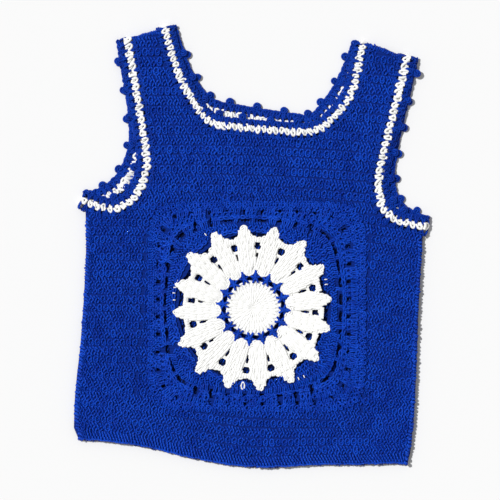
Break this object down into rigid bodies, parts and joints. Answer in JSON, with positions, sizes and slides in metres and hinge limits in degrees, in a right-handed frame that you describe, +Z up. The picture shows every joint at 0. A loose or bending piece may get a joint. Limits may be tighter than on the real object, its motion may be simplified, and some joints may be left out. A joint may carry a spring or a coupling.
{
  "type": "crochet vest",
  "caption": "Sleeveless crocheted vest laid flat: two panels joined at sides and shoulders, an openwork square with a petalled flower in front, picot edges.",
  "frame": {"origin": "on the surface that the vest lies on, below the middle of its outline", "axes": "+X across the vest towards the strap on the right as seen from above, +Y from hem to shoulders, +Z up from the surface, out of the front's face"},
  "size_m": [0.4146, 0.5198, 0.0085],
  "materials": {
    "blue_yarn": "matt worsted yarn",
    "white_yarn": "matt worsted yarn"
  },
  "bodies": {
    "root": {"back": "blue_yarn", "front": "blue_yarn", "motif_lace": "blue_yarn", "flower_centre": "white_yarn", "flower_ring": "blue_yarn", "flower_petals": "white_yarn", "neck_trim": "white_yarn", "neck_edging": "blue_yarn", "armhole_left_trim": "white_yarn", "armhole_left_edging": "blue_yarn", "armhole_right_trim": "white_yarn", "armhole_right_edging": "blue_yarn"}
  },
  "joints": []
}
